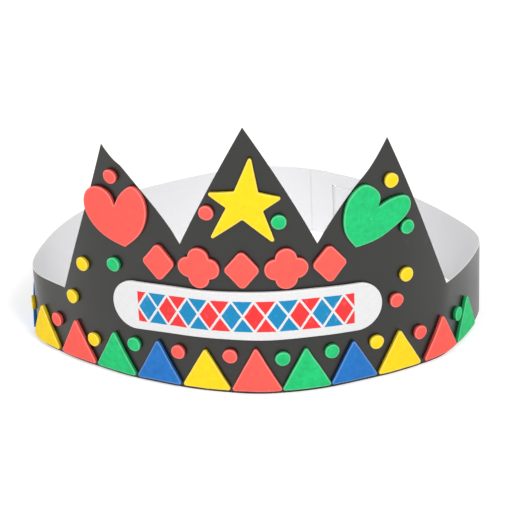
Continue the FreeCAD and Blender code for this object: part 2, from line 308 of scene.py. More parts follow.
def drift(reach, height):
    """How far the card stands out from the upright wall, in mm.

    The left point leans out from the band up to its tip, the right tip curls in over its last
    stretch, a soft crease runs down from the right notch, and the whole front waves a little.
    """
    left = ease((-reach - NOTCH_REACH) / LEAN_IN) * ease((LEAN_OUT_REACH + reach) / LEAN_OUT)
    lean = LEAN * left * np.clip((height - LEAN_START) / LEAN_RUN, 0, 1) ** LEAN_POWER
    curl = CURL * np.clip((height - CURL_START) / CURL_RUN, 0, 1) ** 2 * (reach > NOTCH_REACH)
    from_crease = reach - CREASE_REACH + (BAND_HEIGHT - height) * CREASE_SLANT
    crease = CREASE * np.exp(-((from_crease / CREASE_WIDTH) ** 2))
    crease = crease * ease((CREASE_TOP - height) / CREASE_FADE)
    front = ease((WAVE_END - np.abs(reach)) / WAVE_FADE)
    waves = (size * np.sin(reach / along + height / up + turn) for size, along, up, turn in WAVES)
    return lean + curl + crease + sum(waves) * front


def on_wall(reach, height, out):
    """Points in metres of flat places, this far in mm outside the card's outer face."""
    table, place, outward = CARD_TABLE
    x, y = (np.interp(reach, table, place[:, i]) for i in (0, 1))
    nx, ny = (np.interp(reach, table, outward[:, i]) for i in (0, 1))
    total = out + drift(reach, height)
    return np.stack([x + nx * total, y + ny * total, height + 0 * x], -1) * MM


# Flat outlines

def arc_height(reach, start, end, bulge):
    """Height, at each reach, of the arc from start to end that stands out upward by the bulge.

    A negative bulge makes it dip.
    """
    start, end = np.array(start), np.array(end)
    chord = end - start
    length = np.linalg.norm(chord)
    up = np.array([-chord[1], chord[0]]) / length
    radius = (length**2 / 4 + bulge**2) / (2 * bulge)
    centre = (start + end) / 2 - up * (radius - bulge)
    rise = np.sqrt(np.maximum(radius**2 - (reach - centre[0]) ** 2, 0))
    return centre[1] + math.copysign(1, bulge) * rise


def card_top(reach):
    """Height of the card's upper edge: the level band and six arcs that make three points."""
    across = np.abs(reach)
    marks = (
        (0, CENTRE_TIP_HEIGHT), (NOTCH_REACH, NOTCH_HEIGHT),
        (SIDE_TIP_REACH, SIDE_TIP_HEIGHT), (BAND_NOTCH_REACH, BAND_HEIGHT),
    )
    inner_share = np.clip((reach - NOTCH_REACH) / (SIDE_TIP_REACH - NOTCH_REACH), 0, 1)
    height = np.full(len(reach), BAND_HEIGHT)
    for i in (2, 1, 0):
        left = arc_height(across, marks[i], marks[i + 1], LEFT_BULGES[i])
        right = arc_height(across, marks[i], marks[i + 1], RIGHT_BULGES[i])
        height = np.where(across <= marks[i + 1][0], np.where(reach < 0, left, right), height)
    near_notch, near_tip = RIGHT_SNAKE
    snake = near_notch + (near_tip - near_notch) * ease(
        (inner_share - SNAKE_TURN_START) / SNAKE_TURN_RUN)
    left_share = np.clip((-reach - NOTCH_REACH) / (SIDE_TIP_REACH - NOTCH_REACH), 0, 1)
    last = np.clip((left_share - 1 + LEFT_DIP_SHARE) / LEFT_DIP_SHARE, 0, 1)
    return height + snake * np.sin(TAU * inner_share) - LEFT_DIP * np.sin(math.pi * last)


def even(points, spacing):
    """The closed outline through these points, walked at an even spacing."""
    closed = np.vstack([points, points[:1]])
    length = np.append(0, np.cumsum(np.linalg.norm(np.diff(closed, axis=0), axis=1)))
    count = max(48, int(length[-1] / spacing))
    along = np.linspace(0, length[-1], count, endpoint=False)
    return np.stack([np.interp(along, length, closed[:, i]) for i in (0, 1)], -1)


def rounded(corners, radius):
    """Polygon with every corner, outward or inward, turned into an arc of this radius."""
    corners = np.array(corners, float)
    before = np.roll(corners, 1, 0) - corners
    after = np.roll(corners, -1, 0) - corners
    before /= np.linalg.norm(before, axis=1)[:, None]
    after /= np.linalg.norm(after, axis=1)[:, None]
    half = np.arccos(np.sum(before * after, 1)) / 2
    middle = before + after
    middle /= np.linalg.norm(middle, axis=1)[:, None]
    centre = corners + middle * (radius / np.sin(half))[:, None]
    first = corners + before * (radius / np.tan(half))[:, None] - centre
    last = corners + after * (radius / np.tan(half))[:, None] - centre
    start = np.arctan2(first[:, 1], first[:, 0])
    turn = (np.arctan2(last[:, 1], last[:, 0]) - start + math.pi) % TAU - math.pi
    angle = start[:, None] + turn[:, None] * np.linspace(0, 1, CORNER_STEPS)[None, :]
    arcs = centre[:, None] + radius * np.stack([np.cos(angle), np.sin(angle)], -1)
    return arcs.reshape(-1, 2)


def through(points):
    """Smooth open line through the points: cubics that bend on evenly, straight at both ends."""
    points = np.array(points, float)
    span = np.linalg.norm(np.diff(points, axis=0), axis=1)
    count = len(points)
    system = np.zeros((count, count))
    inner = np.arange(1, count - 1)
    system[inner, inner - 1] = 1 / span[:-1]
    system[inner, inner] = 2 / span[:-1] + 2 / span[1:]
    system[inner, inner + 1] = 1 / span[1:]
    system[0, :2] = 2, 1
    system[-1, -2:] = 1, 2
    step = np.diff(points, axis=0) / span[:, None] ** 2
    pull = 3 * np.vstack([step[:1] * span[0], step[:-1] + step[1:], step[-1:] * span[-1]])
    slopes = np.linalg.solve(system, pull)
    t = np.linspace(0, 1, CURVE_STEPS, endpoint=False)[None, :, None]
    out_slope = (slopes[:-1] * span[:, None])[:, None]
    in_slope = (slopes[1:] * span[:, None])[:, None]
    line = (
        points[:-1, None] * (2 * t**3 - 3 * t**2 + 1) + points[1:, None] * (3 * t**2 - 2 * t**3)
        + out_slope * (t**3 - 2 * t**2 + t) + in_slope * (t**3 - t**2)
    )
    return line.reshape(-1, 2)


def circle(centre, radius, start=0.0, end=TAU, count=120):
    """Arc of a circle, counter-clockwise, without its last point."""
    angle = np.linspace(start, end, count, endpoint=False)
    return np.array(centre) + radius * np.stack([np.cos(angle), np.sin(angle)], -1)


def arched(reach):
    """Rise of the banner's long edges over its length."""
    half = BANNER_LENGTH / 2 - BANNER_HEIGHT / 2
    return BANNER_ARCH * (1 - np.clip((reach - BANNER_MIDDLE) / half, -1, 1) ** 2)


# Meshes

def new_piece(name, points, faces, uv, node, smooth_angle=40):
    """Adds a closed mesh that stands for a node of the part and rides with it."""
    mesh = bpy.data.meshes.new(name)
    mesh.from_pydata(points.tolist(), [], faces)
    mesh.polygons.foreach_set("use_smooth", np.ones(len(mesh.polygons), bool))
    corner = np.empty(len(mesh.loops), np.int32)
    mesh.loops.foreach_get("vertex_index", corner)
    layer = mesh.uv_layers.new(name="flat")
    layer.data.foreach_set("uv", (uv[corner] / MAP_UNIT).astype(np.float32).ravel())
    mesh.set_sharp_from_angle(angle=math.radians(smooth_angle))
    mesh.update()
    piece = bpy.data.objects.new(name, mesh)
    bpy.context.scene.collection.objects.link(piece)
    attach(piece, "root")
    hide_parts(node)
    return piece


def foam_mesh(outline, centre, seed, settings):
    """Rings of a foam sticker from the middle of its back, round its rim to its front's middle.

    Each ring is the outline moved in from the edge, or shrunk toward the centre, with its own
    distance from the card. The front swells a little toward the middle, and the cut edge wanders
    by three slow waves round the outline. Two masks go with the points: the cut wall, where shade
    is painted, and the rim, where a highlight is painted.
    """
    outline = np.asarray(outline)
    centre = np.array(centre, float)
    tangent = np.roll(outline, -1, 0) - np.roll(outline, 1, 0)
    edge_out = np.stack([tangent[:, 1], -tangent[:, 0]], -1)
    edge_out /= np.linalg.norm(edge_out, axis=1)[:, None]
    turn = np.linspace(0, TAU, len(outline), endpoint=False)
    rng = np.random.default_rng(seed)
    phases = rng.uniform(0, TAU, len(WANDER_WAVES))
    wander = sum(np.sin(turn * k + phase) / k for k, phase in zip(WANDER_WAVES, phases))
    outline = outline + edge_out * (wander * settings.cut_wander)[:, None]
    thick, soft = settings.foam_thickness, settings.rim_softness
    corner = np.linspace(0, math.pi / 2, RIM_STEPS)
    inset = np.concatenate([BACK_INSET, soft * (1 - np.cos(corner)), [soft + RIM_INSIDE]])
    out = np.concatenate([BACK_OUT, thick - soft + soft * np.sin(corner), [thick]])
    farthest = np.linalg.norm(outline - centre, axis=1).max()
    shares = np.linspace(1, 0, max(5, int(farthest / RING_STEP)) + 1)[1:-1]
    rim = outline[None] - edge_out[None] * inset[:, None, None]
    back = centre + (rim[0] - centre) * shares[::-1][:, None, None]
    front = centre + (rim[-1] - centre) * shares[:, None, None]
    rings = np.concatenate([back, rim, front])
    swell = settings.swell * (1 - shares**2)
    low, high = BACK_OUT[0], thick + settings.swell
    lift = np.concatenate([np.full(len(shares), low), out, thick + swell])
    heights = np.concatenate([[low], np.repeat(lift, len(outline)), [high]])
    flat = np.vstack([centre, rings.reshape(-1, 2), centre])
    points = on_wall(flat[:, 0], flat[:, 1], heights)
    count, total = len(outline), len(rings)
    ring, step = np.meshgrid(np.arange(total - 1), np.arange(count), indexing="ij")
    here = 1 + ring * count + step
    beside = 1 + ring * count + (step + 1) % count
    quads = np.stack([here, beside, beside + count, here + count], -1).reshape(-1, 4)
    first = 1 + np.arange(count)
    last = first + (total - 1) * count
    follow = np.roll(np.arange(count), -1)
    back_fan = np.stack([np.zeros(count, int), first[follow], first], -1)
    front_fan = np.stack([np.full(count, len(points) - 1), last, last[follow]], -1)
    rim_start = len(back) + len(BACK_OUT)
    # The first mask marks the cut wall, where shade is painted; the second the upper rim, where a
    # highlight is painted
    masks = np.zeros((2, total), np.float32)
    masks[0, : rim_start + 2] = 1
    masks[1, rim_start + 3 : rim_start + RIM_STEPS] = 1
    painted_shade_on_walls, rim_highlights = (np.concatenate([[0], np.repeat(mask, count), [0]]) for mask in masks)
    return points, quads.tolist() + back_fan.tolist() + front_fan.tolist(), flat, painted_shade_on_walls, rim_highlights


def foam_piece(name, outline, centre, colour, material=None):
    """One foam sticker, on its own node, cut from the sheet of this colour."""
    settings = bpy.context.scene.paper_crown
    seed = sum(ord(letter) for letter in name)
    points, faces, flat, painted_shade_on_walls, rim_highlights = foam_mesh(outline, centre, seed, settings)
    piece = new_piece(name + "_foam", points, faces, flat, name, 50)
    # Masks for the painted wall shade and the painted rim highlight
    for mask, values in (("cut_wall", painted_shade_on_walls), ("rim", rim_highlights)):
        attribute = piece.data.attributes.new(mask, "FLOAT", "POINT")
        attribute.data.foreach_set("value", values)
    piece.data.materials.append(material or foam_material(colour, settings))
    return piece


def card_grid():
    """Flat places of the card on a grid, and which of its cells are card.

    Columns stand at even reaches and at every mark of the outline. Rows are shares of the height
    under the upper edge. Past the shoulder the rows between the tab's two edges are drawn
    together about its middle, where its corners are round.
    """
    marks = [-SHOULDER, 0.0, RIGHT_END]
    for side in (-1, 1):
        for reach in (NOTCH_REACH, SIDE_TIP_REACH, BAND_NOTCH_REACH):
            marks.append(side * reach)
        marks.append(SLIT_REACH + side * SLIT_WIDTH / 2)
    corner = TAB_CORNER * (1 - np.cos(np.linspace(0, math.pi / 2, RIM_STEPS)))
    marks += (-LEFT_END + corner).tolist()
    crossing = np.arange(-CROSSING_LENGTH, CROSSING_LENGTH + 0.1, CROSSING_LENGTH / 10)
    marks = np.array(marks + (crossing - LEFT_SLIT_REACH).tolist())
    steady = np.arange(-LEFT_END + TAB_CORNER + 1, RIGHT_END, COLUMN_STEP)
    nearest = np.min(np.abs(steady[:, None] - marks[None]), axis=1)
    steady = steady[nearest > CLOSEST_COLUMNS]
    reach = np.unique(np.round(np.concatenate([marks, steady]), 5))

    tab_low = (BAND_HEIGHT - TAB_HEIGHT) / 2
    tab_high = tab_low + TAB_HEIGHT
    slit_low, slit_high = tab_low - TAB_CLEARANCE, tab_high + TAB_CLEARANCE
    levels = [0, slit_low, tab_low, tab_high, slit_high, BAND_HEIGHT]
    strips = zip(levels, levels[1:], ROW_COUNTS)
    rows = [np.linspace(low, high, count, endpoint=False) for low, high, count in strips]
    rows = np.append(np.concatenate(rows), BAND_HEIGHT)
    height = card_top(reach)[:, None] * rows[None] / BAND_HEIGHT

    tab = reach < -SHOULDER + HAIRBREADTH
    from_end = np.clip(reach + LEFT_END, 0, TAB_CORNER)
    half = TAB_HEIGHT / 2 - TAB_CORNER + np.sqrt(TAB_CORNER**2 - (TAB_CORNER - from_end) ** 2)
    middle = BAND_HEIGHT / 2
    drawn = middle + (rows[None] - middle) * (half / (TAB_HEIGHT / 2))[:, None]
    height = np.where((reach < -SHOULDER - HAIRBREADTH)[:, None], drawn, height)

    row_middle = (rows[:-1] + rows[1:]) / 2
    column_middle = (reach[:-1] + reach[1:]) / 2
    in_tab = (row_middle > tab_low) & (row_middle < tab_high)
    in_slit_height = (row_middle > slit_low) & (row_middle < slit_high)
    kept = ~tab[:-1, None] | in_tab[None]
    slit = np.abs(column_middle - SLIT_REACH) < SLIT_WIDTH / 2
    kept &= ~(slit[:, None] & in_slit_height[None])
    return reach, height, kept


def card_mesh(thickness):
    """Both faces of the card and its cut edges, as one closed sheet.

    The grid is laid twice, outside and inside, and every grid edge that only one cell uses gets
    a strip between the two faces.
    """
    reach, height, kept = card_grid()
    columns, rows = height.shape
    index = np.arange(columns * rows).reshape(columns, rows)
    cells = np.stack([index[:-1, :-1], index[1:, :-1], index[1:, 1:], index[:-1, 1:]], -1)[kept]
    sides = np.concatenate([cells[:, [i, (i + 1) % 4]] for i in range(4)])
    key = np.sort(sides, 1) @ np.array([columns * rows, 1])
    _, first, count = np.unique(key, return_index=True, return_counts=True)
    border = sides[first[count == 1]]
    flat = np.stack([np.repeat(reach, rows), height.ravel()], -1)
    used, compact = np.unique(cells, return_inverse=True)
    cells = compact.reshape(cells.shape)
    border = np.searchsorted(used, border)
    flat = flat[used]
    size = len(flat)
    outside = on_wall(flat[:, 0], flat[:, 1], 0.0)
    inside = on_wall(flat[:, 0], flat[:, 1], -thickness)
    rim = np.stack([border[:, 1], border[:, 0], border[:, 0] + size, border[:, 1] + size], -1)
    faces = np.concatenate([cells, cells[:, ::-1] + size, rim])
    kinds = np.repeat([0, 1, 2], [len(cells), len(cells), len(rim)])
    return np.vstack([outside, inside]), faces.tolist(), np.vstack([flat, flat]), kinds


# Materials: how many features of each noise fit in a metre, and how strongly they show

CELLS = 1500.0
GRAIN = 900.0
MOTTLING = 330.0
MOTTLE = {"green": 0.62, "blue": 0.62, "yellow": 0.26, "coral": 0.26}
BANNER_MOTTLE = 0.05
SPECKS = 620.0
SPECK_FADE = (0.69, 0.78)
SPECK_STRENGTH = 0.09
SPECK_COLOUR = (1.0, 0.97, 0.9, 1.0)
# Painted shade on a sticker's cut wall: how far it turns toward a darker copy of the colour, and
# how bright that copy is, on the stickers and on the banner
PAINTED_WALL_SHADE_STRENGTH = 0.75
PAINTED_WALL_SHADE = 0.48
BANNER_PAINTED_WALL_SHADE = 0.8
# Painted highlight on a sticker's upper rim: how far it turns toward this pale colour
PAINTED_RIM_HIGHLIGHT_STRENGTH = 0.11
PAINTED_RIM_HIGHLIGHT_COLOUR = (1.0, 0.99, 0.95, 1.0)
FOAM_BUMP, FOAM_SPECULAR = 0.05, 0.2
BANNER_BUMP, BANNER_SPECULAR = 0.04, 0.3
FIBRES = 700.0
CLOUDS = 34.0
SCRATCHES = 60.0
SCRATCH_FADE = (0.66, 0.74)
SCRATCH_STRENGTH = 0.05
PRINT_WEAR = 420.0
# The flat map holds reach and height in mm, divided by this
MAP_UNIT = 100
# Stretches of that map over which the cut edge turns from pale to smudged: up from the notches,
# up from the band and out from the middle
SMUDGED_OVER_NOTCH = (0.69, 0.73)
SMUDGED_OVER_BAND = (0.40, 0.48)
SMUDGED_FROM_MIDDLE = (0.36, 0.40)
# Card: name of each face, scuff colour, cloudiness, roughness, specular level and bump in mm
CARD_FACES = (
    ("card black face", (0.2, 0.2, 0.2, 1.0), 0.5, 0.34, 0.5, 0.02),
    ("card white face", (0.62, 0.6, 0.58, 1.0), 0.05, 0.55, 0.4, 0.02),
    ("card cut edge", (0.4, 0.35, 0.28, 1.0), 0.3, 0.8, 0.2, 0.03),
)


class Nodes:
    """A node tree with short ways to add and join its nodes."""

    def __init__(self, tree):
        self.tree = tree

    def add(self, kind, inputs=(), **settings):
        node = self.tree.nodes.new(kind)
        for name, value in settings.items():
            setattr(node, name, value)
        for socket, value in dict(inputs).items():
            if isinstance(value, bpy.types.NodeSocket):
                self.tree.links.new(value, node.inputs[socket])
            else:
                node.inputs[socket].default_value = value
        return node

    def math(self, operation, a, b=0.0, c=0.0):
        node = self.add("ShaderNodeMath", {0: a, 1: b, 2: c}, operation=operation)
        return node.outputs[0]

    def noise(self, vector, scale, detail=2.0, roughness=0.5):
        inputs = {"Vector": vector, "Scale": scale, "Detail": detail, "Roughness": roughness}
        return self.add("ShaderNodeTexNoise", inputs).outputs["Fac"]

    def between(self, value, low, high, to_low=0.0, to_high=1.0):
        inputs = {0: value, 1: low, 2: high, 3: to_low, 4: to_high}
        node = self.add("ShaderNodeMapRange", inputs, interpolation_type="SMOOTHSTEP")
        return node.outputs[0]

    def mix(self, share, a, b, blend="MIX"):
        inputs = {0: share, 6: a, 7: b}
        node = self.add("ShaderNodeMix", inputs, data_type="RGBA", blend_type=blend)
        return node.outputs[2]


def linear(red, green, blue):
    """Linear colour, with alpha, of a display colour given in 0 to 255."""
    shares = (value / 255 for value in (red, green, blue))
    return tuple(((s + 0.055) / 1.055) ** 2.4 if s > 0.04 else s / 12.92 for s in shares) + (1.0,)


def new_group(name, inputs, outputs):
    """An empty node group with these sockets, and its inner nodes."""
    group = bpy.data.node_groups.new(name, "ShaderNodeTree")
    for socket, (kind, value) in inputs.items():
        made = group.interface.new_socket(socket, in_out="INPUT", socket_type="NodeSocket" + kind)
        made.default_value = value
    for socket, kind in outputs.items():
        group.interface.new_socket(socket, in_out="OUTPUT", socket_type="NodeSocket" + kind)
    nodes = Nodes(group)
    return group, nodes, nodes.add("NodeGroupInput").outputs, nodes.add("NodeGroupOutput").inputs


def foam_group():
    """Closed-cell foam: fine cells, mottling, stray pale specks, painted wall shade and rim
    highlight.
    """
    found = bpy.data.node_groups.get("foam sheet")
    if found:
        return found
    group, nodes, given, result = new_group(
        "foam sheet",
        {"Colour": ("Color", (1, 1, 1, 1)), "Wall colour": ("Color", (1, 1, 1, 1)),
         "Mottle": ("Float", 0.1)},
        {"Colour": "Color", "Roughness": "Float", "Height": "Float"},
    )
    place = nodes.add("ShaderNodeTexCoord").outputs["Object"]
    cells = nodes.add("ShaderNodeTexVoronoi", {"Vector": place, "Scale": CELLS})
    pores = nodes.between(cells.outputs["Distance"], 0.05, 0.55)
    grain = nodes.noise(place, GRAIN, 4.0, 0.65)
    slow = nodes.noise(place, MOTTLING, 3.0, 0.6)
    shade = nodes.math("MULTIPLY_ADD", nodes.math("SUBTRACT", slow, 0.5), given["Mottle"], 1.0)
    fine = nodes.math("MULTIPLY_ADD", nodes.math("SUBTRACT", grain, 0.5), 0.16, 0.0)
    shade = nodes.math("ADD", shade, fine)
    shade = nodes.math("MULTIPLY", shade, nodes.math("MULTIPLY_ADD", pores, 0.05, 0.95))
    shade_colour = nodes.add("ShaderNodeCombineColor", {0: shade, 1: shade, 2: shade}).outputs[0]
    colour = nodes.mix(1.0, given["Colour"], shade_colour, "MULTIPLY")
    specks = nodes.between(nodes.noise(place, SPECKS), *SPECK_FADE, 0.0, SPECK_STRENGTH)
    colour = nodes.mix(specks, colour, SPECK_COLOUR)
    # Painted shade: the cut wall turns toward a darker copy of the colour
    wall = nodes.add("ShaderNodeAttribute", attribute_name="cut_wall").outputs["Fac"]
    colour = nodes.mix(nodes.math("MULTIPLY", wall, PAINTED_WALL_SHADE_STRENGTH), colour, given["Wall colour"])
    # Painted highlight: the upper rim turns paler
    rim = nodes.add("ShaderNodeAttribute", attribute_name="rim").outputs["Fac"]
    colour = nodes.mix(nodes.math("MULTIPLY", rim, PAINTED_RIM_HIGHLIGHT_STRENGTH), colour, PAINTED_RIM_HIGHLIGHT_COLOUR)
    nodes.tree.links.new(colour, result["Colour"])
    nodes.tree.links.new(nodes.math("MULTIPLY_ADD", grain, 0.18, 0.52), result["Roughness"])
    height = nodes.math("MULTIPLY_ADD", pores, 0.6, nodes.math("MULTIPLY", grain, 0.8))
    nodes.tree.links.new(height, result["Height"])
    return group


def card_group():
    """Smooth card: paper fibres, slow cloudiness and a few handling scuffs."""
    found = bpy.data.node_groups.get("card sheet")
    if found:
        return found
    group, nodes, given, result = new_group(
        "card sheet",
        {"Colour": ("Color", (1, 1, 1, 1)), "Scuff colour": ("Color", (1, 1, 1, 1)),
         "Cloud": ("Float", 0.1), "Roughness": ("Float", 0.5)},
        {"Colour": "Color", "Roughness": "Float", "Height": "Float"},
    )
    place = nodes.add("ShaderNodeTexCoord").outputs["Object"]
    stretched = nodes.add(
        "ShaderNodeMapping", {"Vector": place, "Scale": (1.0, 1.0, 2.6)}).outputs[0]
    fibre = nodes.noise(stretched, FIBRES, 5.0, 0.7)
    cloud = nodes.noise(place, CLOUDS, 3.0, 0.55)
    shade = nodes.math("MULTIPLY_ADD", nodes.math("SUBTRACT", cloud, 0.5), given["Cloud"], 1.0)
    shade = nodes.math("MULTIPLY_ADD", nodes.math("SUBTRACT", fibre, 0.5), 0.14, shade)
    shade_colour = nodes.add("ShaderNodeCombineColor", {0: shade, 1: shade, 2: shade}).outputs[0]
    colour = nodes.mix(1.0, given["Colour"], shade_colour, "MULTIPLY")
    scratch_place = nodes.add(
        "ShaderNodeMapping",
        {"Vector": place, "Rotation": (0.3, 0.5, 0.9), "Scale": (1.0, 7.0, 7.0)}).outputs[0]
    scratch = nodes.noise(scratch_place, SCRATCHES, 3.0, 0.6)
    scratch = nodes.between(scratch, *SCRATCH_FADE, 0.0, SCRATCH_STRENGTH)
    colour = nodes.mix(scratch, colour, given["Scuff colour"])
    nodes.tree.links.new(colour, result["Colour"])
    cloudy = nodes.math("SUBTRACT", cloud, 0.5)
    rough = nodes.math("MULTIPLY_ADD", cloudy, 0.22, given["Roughness"])
    rough = nodes.math("MULTIPLY_ADD", nodes.math("SUBTRACT", fibre, 0.5), 0.12, rough)
    nodes.tree.links.new(rough, result["Roughness"])
    nodes.tree.links.new(fibre, result["Height"])
    return group


def new_material(name, group, inputs, bump, specular, colour=None):
    """Principled material fed by a group's colour, roughness and bump, whose depth is in mm.

    Where colour is given, it is a function that adds nodes and returns the socket of the colour.
    """
    material = bpy.data.materials.new(name)
    material.use_nodes = True
    material.node_tree.nodes.clear()
    nodes = Nodes(material.node_tree)
    sheet = nodes.add("ShaderNodeGroup", inputs, node_tree=group)
    if colour:
        nodes.tree.links.new(colour(nodes), sheet.inputs["Colour"])
    relief = nodes.add("ShaderNodeBump", {
        "Height": sheet.outputs["Height"], "Strength": 1.0, "Distance": bump * MM})
    shader = nodes.add("ShaderNodeBsdfPrincipled", {
        "Base Color": sheet.outputs["Colour"], "Roughness": sheet.outputs["Roughness"],
        "Specular IOR Level": specular, "Normal": relief.outputs["Normal"]})
    nodes.add("ShaderNodeOutputMaterial", {"Surface": shader.outputs[0]})
    return material


def shade_of(colour, share):
    """The same colour, this share as bright."""
    return tuple(value * share for value in colour[:3]) + (1.0,)


def foam_material(colour, settings):
    """Foam of one colour, made once."""
    name = "foam " + colour
    found = bpy.data.materials.get(name)
    if found:
        return found
    base = tuple(getattr(settings, colour + "_foam"))
    # The cut wall gets a darker copy of the colour as painted shade
    inputs = {
        "Colour": base, "Wall colour": shade_of(base, PAINTED_WALL_SHADE), "Mottle": MOTTLE[colour]}
    return new_material(name, foam_group(), inputs, FOAM_BUMP, FOAM_SPECULAR)


def printed_foam(settings):
    """White foam with a printed row of lozenges in blue and red by turns, and triangles between.

    The flat map gives the place. The row is cut into cells of one pitch. In each cell the shares
    of the way from its middle to its side and to its top add up to less than 1 inside the
    lozenge, and to more than 1 in the triangles round it. The line between stays white.
    """
    name = "foam white printed"
    found = bpy.data.materials.get(name)
    if found:
        return found

    def colour(nodes):
        flat = nodes.add("ShaderNodeUVMap", uv_map="flat").outputs[0]
        place = nodes.add("ShaderNodeTexCoord").outputs["Object"]
        ragged = nodes.noise(place, PRINT_WEAR)
        ragged = nodes.math("MULTIPLY_ADD", ragged, 0.3, -0.15)
        split = nodes.add("ShaderNodeSeparateXYZ", {0: flat})
        reach = nodes.math("MULTIPLY_ADD", split.outputs[0], MAP_UNIT, -BANNER_MIDDLE)
        half = BANNER_LENGTH / 2 - BANNER_HEIGHT / 2
        bow = nodes.math("MULTIPLY", reach, nodes.math("DIVIDE", reach, half * half))
        bow = nodes.math("MULTIPLY_ADD", bow, BANNER_ARCH, -BANNER_ARCH)
        middle = BANNER_BOTTOM + BANNER_HEIGHT / 2
        up = nodes.math("MULTIPLY_ADD", split.outputs[1], MAP_UNIT, -middle)
        up = nodes.math("ADD", up, bow)
        along = nodes.math("MULTIPLY_ADD", reach, 1 / settings.print_pitch, PRINT_CELLS / 2)
        cell = nodes.math("FLOOR", along)
        share = nodes.math("SUBTRACT", nodes.math("SUBTRACT", along, cell), 0.5)
        across = nodes.math("MULTIPLY", nodes.math("ABSOLUTE", share), 2.0)
        tall = nodes.math("MULTIPLY", nodes.math("ABSOLUTE", up), 2 / settings.print_height)
        side = nodes.math("SUBTRACT", nodes.math("ADD", across, tall), 1.0)
        steep = 2 * math.hypot(1 / settings.print_pitch, 1 / settings.print_height)
        from_line = nodes.math("MULTIPLY", nodes.math("ABSOLUTE", side), 1 / steep)
        distance = nodes.math("SUBTRACT", settings.print_gap / 2, from_line)
        over = nodes.math("MULTIPLY_ADD", tall, settings.print_height / 2,
                          -settings.print_height / 2)
        print_end = settings.print_pitch * PRINT_CELLS / 2
        ends = nodes.math("SUBTRACT", nodes.math("ABSOLUTE", reach), print_end)
        distance = nodes.math("MAXIMUM", distance, nodes.math("MAXIMUM", over, ends))
        distance = nodes.math("ADD", distance, ragged)
        printed = nodes.between(distance, -0.1, 0.1, 1.0, 0.0)
        outside = nodes.math("GREATER_THAN", side, 0.0)
        column = nodes.math("ADD", cell, nodes.math(
            "MULTIPLY", outside, nodes.math("ADD", 1.0, nodes.math("GREATER_THAN", share, 0.0))))
        odd = nodes.math("GREATER_THAN", nodes.math("FLOORED_MODULO", column, 2.0), 0.5)
        ink = nodes.mix(odd, tuple(settings.print_blue), tuple(settings.print_red))
        worn = nodes.between(ragged, 0.02, 0.08, 1.0, 0.93)
        return nodes.mix(nodes.math("MULTIPLY", printed, worn), tuple(settings.white_foam), ink)

    # The banner's cut wall gets a darker white as painted shade
    painted_shade_on_walls = shade_of(tuple(settings.white_foam), BANNER_PAINTED_WALL_SHADE)
    inputs = {"Wall colour": painted_shade_on_walls, "Mottle": BANNER_MOTTLE}
    return new_material(name, foam_group(), inputs, BANNER_BUMP, BANNER_SPECULAR, colour)


def card_materials(settings):
    """Black face, white face and the raw cut edge."""
    def edge_colour(nodes):
        """Pale along the band and in the notches, smudged dark along the points."""
        flat = nodes.add("ShaderNodeUVMap", uv_map="flat").outputs[0]
        split = nodes.add("ShaderNodeSeparateXYZ", {0: flat})
        over_notch = nodes.between(split.outputs[1], *SMUDGED_OVER_NOTCH)
        over_band = nodes.between(split.outputs[1], *SMUDGED_OVER_BAND)
        across = nodes.math("ABSOLUTE", split.outputs[0])
        side = nodes.between(across, *SMUDGED_FROM_MIDDLE)
        dark = nodes.math("MAXIMUM", over_notch, nodes.math("MULTIPLY", over_band, side))
        return nodes.mix(dark, tuple(settings.cut_edge), tuple(settings.worn_edge))

    colours = (settings.black_card, settings.white_card, settings.cut_edge)
    made = []
    for face, colour, paint in zip(CARD_FACES, colours, (None, None, edge_colour)):
        name, scuff, cloud, rough, specular, bump = face
        inputs = {
            "Colour": tuple(colour), "Scuff colour": scuff, "Cloud": cloud, "Roughness": rough}
        made.append(new_material(name, card_group(), inputs, bump, specular, paint))
    return made


# Settings that a user would change

def colour_property(name, description, red, green, blue):
    return bpy.props.FloatVectorProperty(
        name=name, description=description, subtype="COLOR", size=4, min=0, max=1,
        default=linear(red, green, blue),
    )


